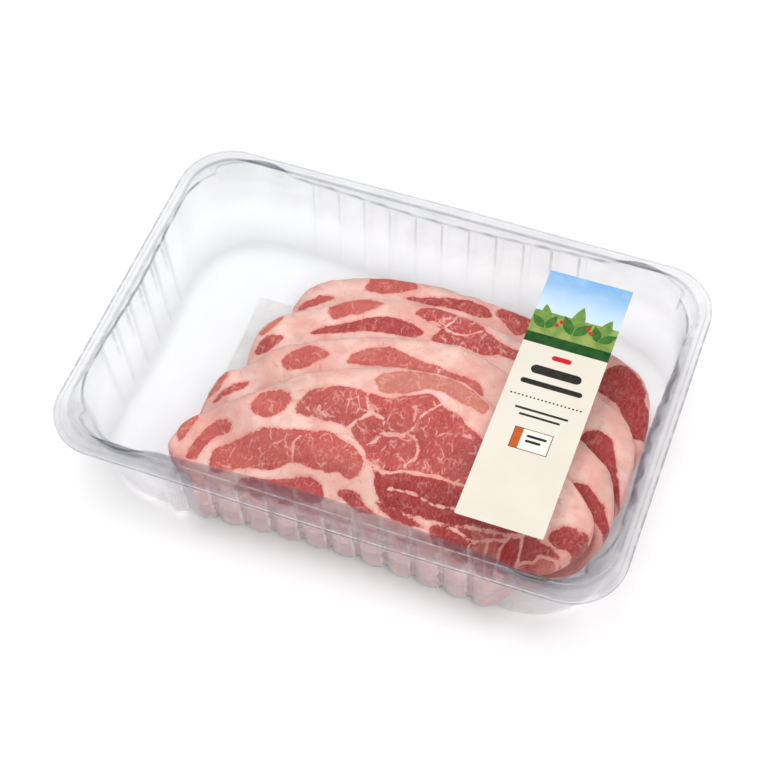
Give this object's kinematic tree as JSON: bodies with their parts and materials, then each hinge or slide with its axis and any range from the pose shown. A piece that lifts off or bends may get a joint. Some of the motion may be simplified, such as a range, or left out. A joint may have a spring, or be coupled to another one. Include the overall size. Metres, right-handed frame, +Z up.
{
  "type": "sealed meat tray pack",
  "caption": "Clear fluted tray with a rim, shingled pork steaks on an absorbent pad, sealed under a clear lidding film with a paper label.",
  "frame": {"origin": "middle of the tray's underside, on the surface that it stands on", "axes": "+X along the long side towards the label, +Y across the pack away from the top slice, +Z up"},
  "size_m": [0.26, 0.183, 0.054],
  "materials": {
    "tray_plastic": "clear thermoformed plastic, glossy",
    "pad_paper": "embossed, matte",
    "pork": "raw pork, moist",
    "film_plastic": "clear lidding film, glossy",
    "label_paper": "coated paper, satin"
  },
  "bodies": {
    "root": {"tray": "tray_plastic", "absorbent_pad": "pad_paper", "slice_1": "pork", "slice_2": "pork", "slice_3": "pork", "slice_4": "pork", "lid_film": "film_plastic", "label": "label_paper"}
  },
  "joints": []
}
